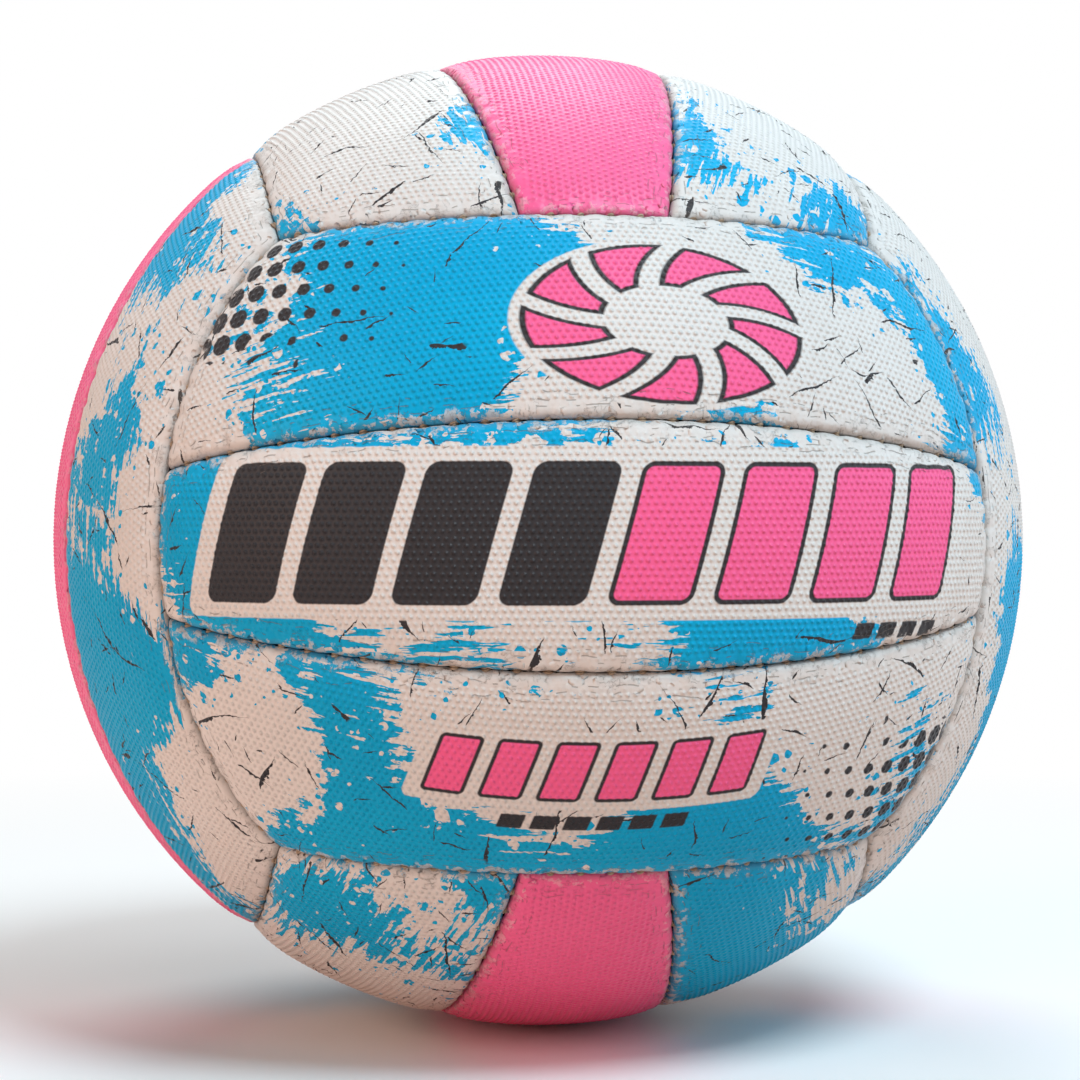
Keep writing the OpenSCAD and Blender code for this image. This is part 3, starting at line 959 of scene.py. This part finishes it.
def black_rubber(name, group, roughness, grain_scale):
    """Black moulded rubber of a given roughness and scale of grain."""
    material, tree, shader = new_material(name)
    dusty = use_group(tree, group, place=object_place(tree), scale=grain_scale)
    grain = Term(tree, dusty.outputs["Grain"])
    surface(tree, shader, dusty.outputs["Colour"], grain * 0.15 + roughness, grain, 0.35, 0.1 * MM)
    return material


# ---------------------------------------------------------------- operators

# Ink share below which a panel stays bare, and how it varies from one panel to the next
BARENESS, BARENESS_CHANGE = 0.52, (0.012, 0.03, -0.012, 0.02)
PHOTO_PIXELS = 1080
FLOOR_FAR, FLOOR_FADE = 0.12, 0.5
# Name, place and size in metres, power in watts and colour of each lamp
LAMPS = (
    ("key lamp", (0.395, -0.765, 1.229), 0.6, 17.2, (0.75, 0.92, 1.0)),
    ("top lamp", (0.0, 0.85, 1.25), 0.9, 9.0, (0.96, 1.0, 1.0)),
    ("left lamp", (-1.315, -0.716, 0.563), 0.9, 6.6, (1.0, 0.74, 0.58)),
    ("right lamp", (1.40, -0.20, 0.50), 0.8, 5.2, (0.60, 0.84, 1.0)),
    ("low warm lamp", (-0.95, -0.45, -0.06), 0.3, 1.7, (1.0, 0.50, 0.36)),
)


class NETBALL_OT_cover(bpy.types.Operator):
    """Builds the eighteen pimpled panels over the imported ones"""

    bl_idname = "netball.cover"
    bl_label = "Build the cover"

    def execute(self, context):
        scene = context.scene
        cover, lacing, colours = scene.netball_cover, scene.netball_lacing, scene.netball_colours
        seams = front_seams(cover, lacing)
        ends = [seams["right_end"], seams["left_end"]]
        side_seams = [seams["upper_inner"], seams["upper_outer"]] + ends
        middle_seams = [seams["under_upper_inner"], seams["over_lower_inner"]] + ends
        side_tilt = (INNER_ANGLE + OUTER_ANGLE) / 2
        pitch, foot = cover.pimple_pitch / MM, cover.pimple_radius / MM
        side = hexagon_sheet(pitch, foot, side_tilt, side_seams)
        middle = hexagon_sheet(pitch, foot, 0.0, middle_seams)
        holed = hexagon_sheet(pitch, foot, 0.0, middle_seams + [valve_seam()])
        groups = {"splash": splash_print_group(), "dots": halftone_group(), "bars": slanted_bars_group(),
                  "wear_and_shade": wear_and_shade_group()}
        number = 0
        for face, strips in STRIPS.items():
            for place, strip in enumerate(strips):
                number += 1
                name = f"{face}_{strip}"
                sheet = middle if place == 1 else side
                if name == "right_middle":
                    sheet = holed
                points, spots, nearest, pimples = panel_points(sheet, cover, 40 + number)
                points = points @ face_turn(face, place == 2)
                own_part = (7.3 * number, 4.1 * number, 0)
                if place == 1 and face not in ("front", "back"):
                    material = pink_rubber(f"pink rubber {name}", groups, colours, own_part)
                else:
                    material = printed_rubber(f"printed rubber {name}", groups, colours, own_part,
                                              BARENESS + BARENESS_CHANGE[number % 4], MOTIFS.get(name, {}))
                piece = new_mesh_piece(f"{name}_cover", points, sheet["faces"], material)
                if place == 2:
                    spots = -spots
                add_readings(piece.data, sheet["faces"], spots, nearest, pimples)
                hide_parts(f"{name}_panel")
        return {"FINISHED"}


class NETBALL_OT_lacing(bpy.types.Operator):
    """Builds the thread that shows at every stitch between the panels"""

    bl_idname = "netball.lacing"
    bl_label = "Build the lacing"

    def execute(self, context):
        scene = context.scene
        seams = front_seams(scene.netball_cover, scene.netball_lacing)
        material = waxed_thread(scene.netball_colours)
        for number, face in enumerate(STRIPS):
            points, faces = lacing_points(face, seams, scene.netball_lacing, 90 + number)
            piece = new_mesh_piece(f"{face}_lacing", points, faces, material)
            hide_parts(f"{face}_stitching")
        return {"FINISHED"}


class NETBALL_OT_inside(bpy.types.Operator):
    """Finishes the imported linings, bladder and valve"""

    bl_idname = "netball.inside"
    bl_label = "Finish the inside and the valve"

    def execute(self, context):
        dusty = dusty_rubber_group()
        cloth = lining_cloth()
        butyl = black_rubber("butyl rubber", dusty, 0.42, 900.0)
        valve = black_rubber("valve rubber", dusty, 0.30, 1600.0)
        for name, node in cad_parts.items():
            if name.endswith("_lining"):
                finish = cloth
            elif name == "bladder":
                finish = butyl
            elif name.startswith("valve_"):
                finish = valve
            else:
                continue
            node.data.materials.clear()
            node.data.materials.append(finish)
        return {"FINISHED"}


def backdrop_rays(tree):
    """1 for the rays that show the backdrop as it looks: those of the camera, of gloss and through
    glass."""
    rays = tree.nodes.new("ShaderNodeLightPath").outputs
    camera, gloss = Term(tree, rays["Is Camera Ray"]), Term(tree, rays["Is Glossy Ray"])
    return camera.either(gloss).either(Term(tree, rays["Is Transmission Ray"]))


def mixed_surface(tree, output, first, second, mask):
    """Puts a shader on the output, with a second one in its place where the mask is 1."""
    mix = tree.nodes.new("ShaderNodeMixShader")
    for place, value in zip(mix.inputs, (mask, first.outputs[0], second.outputs[0])):
        feed(tree, place, value)
    tree.links.new(mix.outputs[0], tree.nodes[output].inputs["Surface"])


def studio_floor(scene):
    """A pale floor under the ball that fades into the white backdrop, and throws warm light up."""
    corners = [(x, y, -BALL_R * MM) for x, y in ((-3, -2), (3, -2), (3, 4), (-3, 4))]
    mesh = bpy.data.meshes.new("studio_floor")
    mesh.from_pydata(corners, [], [(0, 1, 2, 3)])
    floor = bpy.data.objects.new("studio_floor", mesh)
    scene.collection.objects.link(floor)
    material, tree, shader = new_material("studio floor")
    shader.inputs["Roughness"].default_value = 0.9
    shader.inputs["Specular IOR Level"].default_value = 0.1
    x, y, _ = vector_parts(tree, object_place(tree))
    far = (((x * x + y * y).op("SQRT") - FLOOR_FAR) / FLOOR_FADE).clamped()
    seen = backdrop_rays(tree)
    colour = painted(tree, (0.88, 0.60, 0.48, 1), (0.93, 0.93, 0.93, 1), seen)
    tree.links.new(colour, shader.inputs["Base Color"])
    plain = tree.nodes.new("ShaderNodeEmission")
    plain.inputs["Color"].default_value = (1, 1, 1, 1)
    mixed_surface(tree, "Material Output", shader, plain, far * seen)
    mesh.materials.append(material)


def studio_world(scene, light):
    """A dim, even world light behind a white backdrop."""
    scene.world = bpy.data.worlds.new("studio")
    scene.world.use_nodes = True
    tree = scene.world.node_tree
    sky = tree.nodes["Background"]
    sky.inputs["Color"].default_value = (0.96, 0.98, 1.0, 1)
    sky.inputs["Strength"].default_value = 0.22 * light
    white = tree.nodes.new("ShaderNodeBackground")
    white.inputs["Color"].default_value = (1, 1, 1, 1)
    mixed_surface(tree, "World Output", sky, white, backdrop_rays(tree))


def aimed(scene, name, data, spot):
    """An object for a lamp or a camera at a spot, turned to look at the ball's centre."""
    holder = bpy.data.objects.new(name, data)
    holder.location = spot
    holder.rotation_euler = (-Vector(spot)).to_track_quat("-Z", "Y").to_euler()
    scene.collection.objects.link(holder)
    return holder


class NETBALL_OT_stage(bpy.types.Operator):
    """Sets up the floor, the soft lights and the camera"""

    bl_idname = "netball.stage"
    bl_label = "Set up the studio"

    def execute(self, context):
        scene = context.scene
        stage = scene.netball_stage
        scene.view_settings.view_transform = "Standard"
        studio_floor(scene)
        studio_world(scene, stage.light)
        for name, spot, size, power, colour in LAMPS:
            lamp = bpy.data.lights.new(name, "AREA")
            lamp.shape = "DISK"
            lamp.size = size
            lamp.energy = power * stage.light
            lamp.color = colour
            aimed(scene, name, lamp, spot)
        camera = bpy.data.cameras.new("photo camera")
        camera.lens = stage.lens
        camera.sensor_width = 36
        camera.shift_x = 1.9 / PHOTO_PIXELS
        camera.shift_y = 0.1 / PHOTO_PIXELS
        flat = stage.camera_distance * math.cos(stage.camera_height)
        scene.camera = aimed(scene, "photo camera", camera, (
            flat * math.sin(stage.camera_turn), -flat * math.cos(stage.camera_turn),
            stage.camera_distance * math.sin(stage.camera_height)))
        return {"FINISHED"}


class NETBALL_PT_panel(bpy.types.Panel):
    """Lists the steps and their settings"""

    bl_idname = "NETBALL_PT_panel"
    bl_label = "Netball"
    bl_space_type = "VIEW_3D"
    bl_region_type = "UI"
    bl_category = "Netball"

    def draw(self, context):
        scene = context.scene
        steps = (("netball.cover", scene.netball_cover), ("netball.lacing", scene.netball_lacing),
                 ("netball.inside", scene.netball_colours), ("netball.stage", scene.netball_stage))
        for step, settings in steps:
            box = self.layout.box()
            box.operator(step)
            for label in settings.__annotations__:
                box.prop(settings, label)


CLASSES = (NetballCoverSettings, NetballLacingSettings, NetballColourSettings, NetballStageSettings,
           NETBALL_OT_cover, NETBALL_OT_lacing, NETBALL_OT_inside, NETBALL_OT_stage, NETBALL_PT_panel)


def register():
    """Registers the classes and gives the scene its settings."""
    for one in CLASSES:
        bpy.utils.register_class(one)
    bpy.types.Scene.netball_cover = bpy.props.PointerProperty(type=NetballCoverSettings)
    bpy.types.Scene.netball_lacing = bpy.props.PointerProperty(type=NetballLacingSettings)
    bpy.types.Scene.netball_colours = bpy.props.PointerProperty(type=NetballColourSettings)
    bpy.types.Scene.netball_stage = bpy.props.PointerProperty(type=NetballStageSettings)


def unregister():
    """Takes the settings and the classes away again."""
    for label in ("netball_stage", "netball_colours", "netball_lacing", "netball_cover"):
        delattr(bpy.types.Scene, label)
    for one in reversed(CLASSES):
        bpy.utils.unregister_class(one)


def main():
    """Builds the whole dressing."""
    register()
    bpy.ops.netball.cover()
    bpy.ops.netball.lacing()
    bpy.ops.netball.inside()
    bpy.ops.netball.stage()


if __name__ == "__main__":
    main()
